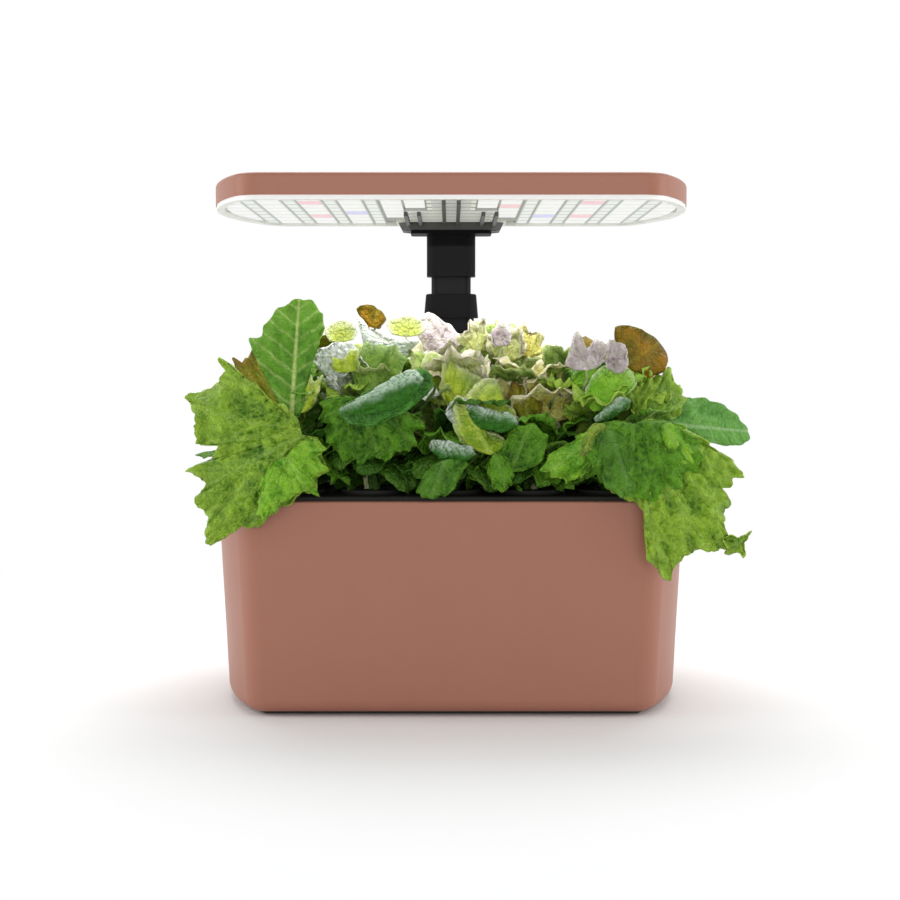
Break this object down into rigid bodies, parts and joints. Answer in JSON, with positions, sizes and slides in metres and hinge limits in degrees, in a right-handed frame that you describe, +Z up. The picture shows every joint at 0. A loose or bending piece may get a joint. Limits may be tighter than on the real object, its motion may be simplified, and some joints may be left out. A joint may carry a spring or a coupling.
{
  "type": "countertop hydroponic garden",
  "caption": "Soil-less kitchen garden: a terracotta tub holds a water tank and a pod deck of lettuces, and a rear telescopic mast carries an LED grow lamp over them.",
  "frame": {"origin": "centre of the foot ring's underside, on the surface the garden stands on", "axes": "+Z up along the mast; -Y is the front; +X is to the right, seen from the front"},
  "size_m": [0.3668, 0.2074, 0.347],
  "materials": {
    "terracotta_plastic": "satin",
    "deck_plastic": "satin",
    "cup_plastic": "satin",
    "tank_plastic": "satin",
    "mast_tube": "black anodised",
    "bracket_plastic": "satin",
    "white_plastic": "satin",
    "grille_plastic": "satin",
    "white_lens": "diffusing",
    "red_lens": "diffusing",
    "blue_lens": "diffusing",
    "circuit_board": "solder mask",
    "white_board": "white solder mask",
    "sink_aluminium": "mill",
    "screw_steel": "plated",
    "foot_rubber": "matte",
    "pump_plastic": "satin",
    "gauge_plastic": "gloss",
    "float_foam": "closed-cell foam",
    "grow_sponge": "open-cell foam",
    "lettuce_leaf": "waxy leaf"
  },
  "bodies": {
    "housing": {"base_plate": "tank_plastic", "base_screws": "screw_steel", "control_board": "circuit_board", "dc_jack": "tank_plastic", "flap_pin": "screw_steel", "foot_ring": "foot_rubber", "gauge_bezel": "deck_plastic", "grow_deck": "deck_plastic", "grow_sponges": "grow_sponge", "lettuce_1": "lettuce_leaf", "lettuce_10": "lettuce_leaf", "lettuce_2": "lettuce_leaf", "lettuce_3": "lettuce_leaf", "lettuce_4": "lettuce_leaf", "lettuce_5": "lettuce_leaf", "lettuce_6": "lettuce_leaf", "lettuce_7": "lettuce_leaf", "lettuce_8": "lettuce_leaf", "lettuce_9": "lettuce_leaf", "mast_sleeve": "tank_plastic", "net_cup_1": "cup_plastic", "net_cup_10": "cup_plastic", "net_cup_2": "cup_plastic", "net_cup_3": "cup_plastic", "net_cup_4": "cup_plastic", "net_cup_5": "cup_plastic", "net_cup_6": "cup_plastic", "net_cup_7": "cup_plastic", "net_cup_8": "cup_plastic", "net_cup_9": "cup_plastic", "pump_housing": "pump_plastic", "pump_shaft": "screw_steel", "pump_strainer": "pump_plastic", "service_deck": "deck_plastic", "sleeve_collar": "deck_plastic", "tub_shell": "terracotta_plastic", "water_tank": "tank_plastic"},
    "mast_stage": {"mast_middle": "mast_tube", "mast_collar": "deck_plastic"},
    "lamp_head": {"mast_top": "mast_tube", "head_block": "deck_plastic", "head_bracket": "bracket_plastic", "lamp_cover": "terracotta_plastic", "lamp_rim": "white_plastic", "led_board": "white_board", "white_lenses": "white_lens", "red_lenses": "red_lens", "blue_lenses": "blue_lens", "centre_grille": "grille_plastic", "heat_sink": "sink_aluminium", "lamp_driver": "circuit_board", "lamp_screws": "screw_steel"},
    "flap": {"fill_flap": "deck_plastic"},
    "float_gauge": {"gauge_float": "float_foam", "gauge_stem": "gauge_plastic"},
    "light_key": {"light_button": "deck_plastic"},
    "mode_key": {"mode_button": "deck_plastic"},
    "pump_key": {"pump_button": "deck_plastic"},
    "rotor": {"impeller": "pump_plastic"}
  },
  "joints": [
    {"name": "lower_mast_slide", "type": "slide", "parent": "housing", "child": "mast_stage", "axis": [0, 0, 1], "range_m": [-0.035, 0.06]},
    {"name": "upper_mast_slide", "type": "slide", "parent": "mast_stage", "child": "lamp_head", "axis": [0, 0, 1], "range_m": [-0.0125, 0.07]},
    {"name": "flap_hinge", "type": "hinge", "parent": "housing", "child": "flap", "pos_m": [-0.098, 0.0846, 0.1445], "axis": [-1, 0, 0], "range_deg": [0, 100]},
    {"name": "gauge_slide", "type": "slide", "parent": "housing", "child": "float_gauge", "axis": [0, 0, 1], "range_m": [0, 0.018]},
    {"name": "light_button_press", "type": "slide", "parent": "housing", "child": "light_key", "axis": [0, 0, -1], "range_m": [0, 0.0015], "stiffness_N_per_m": 800, "springref_m": -0.0005},
    {"name": "mode_button_press", "type": "slide", "parent": "housing", "child": "mode_key", "axis": [0, 0, -1], "range_m": [0, 0.0015], "stiffness_N_per_m": 800, "springref_m": -0.0005},
    {"name": "pump_button_press", "type": "slide", "parent": "housing", "child": "pump_key", "axis": [0, 0, -1], "range_m": [0, 0.0015], "stiffness_N_per_m": 800, "springref_m": -0.0005},
    {"name": "impeller_spin", "type": "hinge", "parent": "housing", "child": "rotor", "pos_m": [0.078, -0.022, 0.03], "axis": [0, 0, 1], "continuous": true}
  ]
}
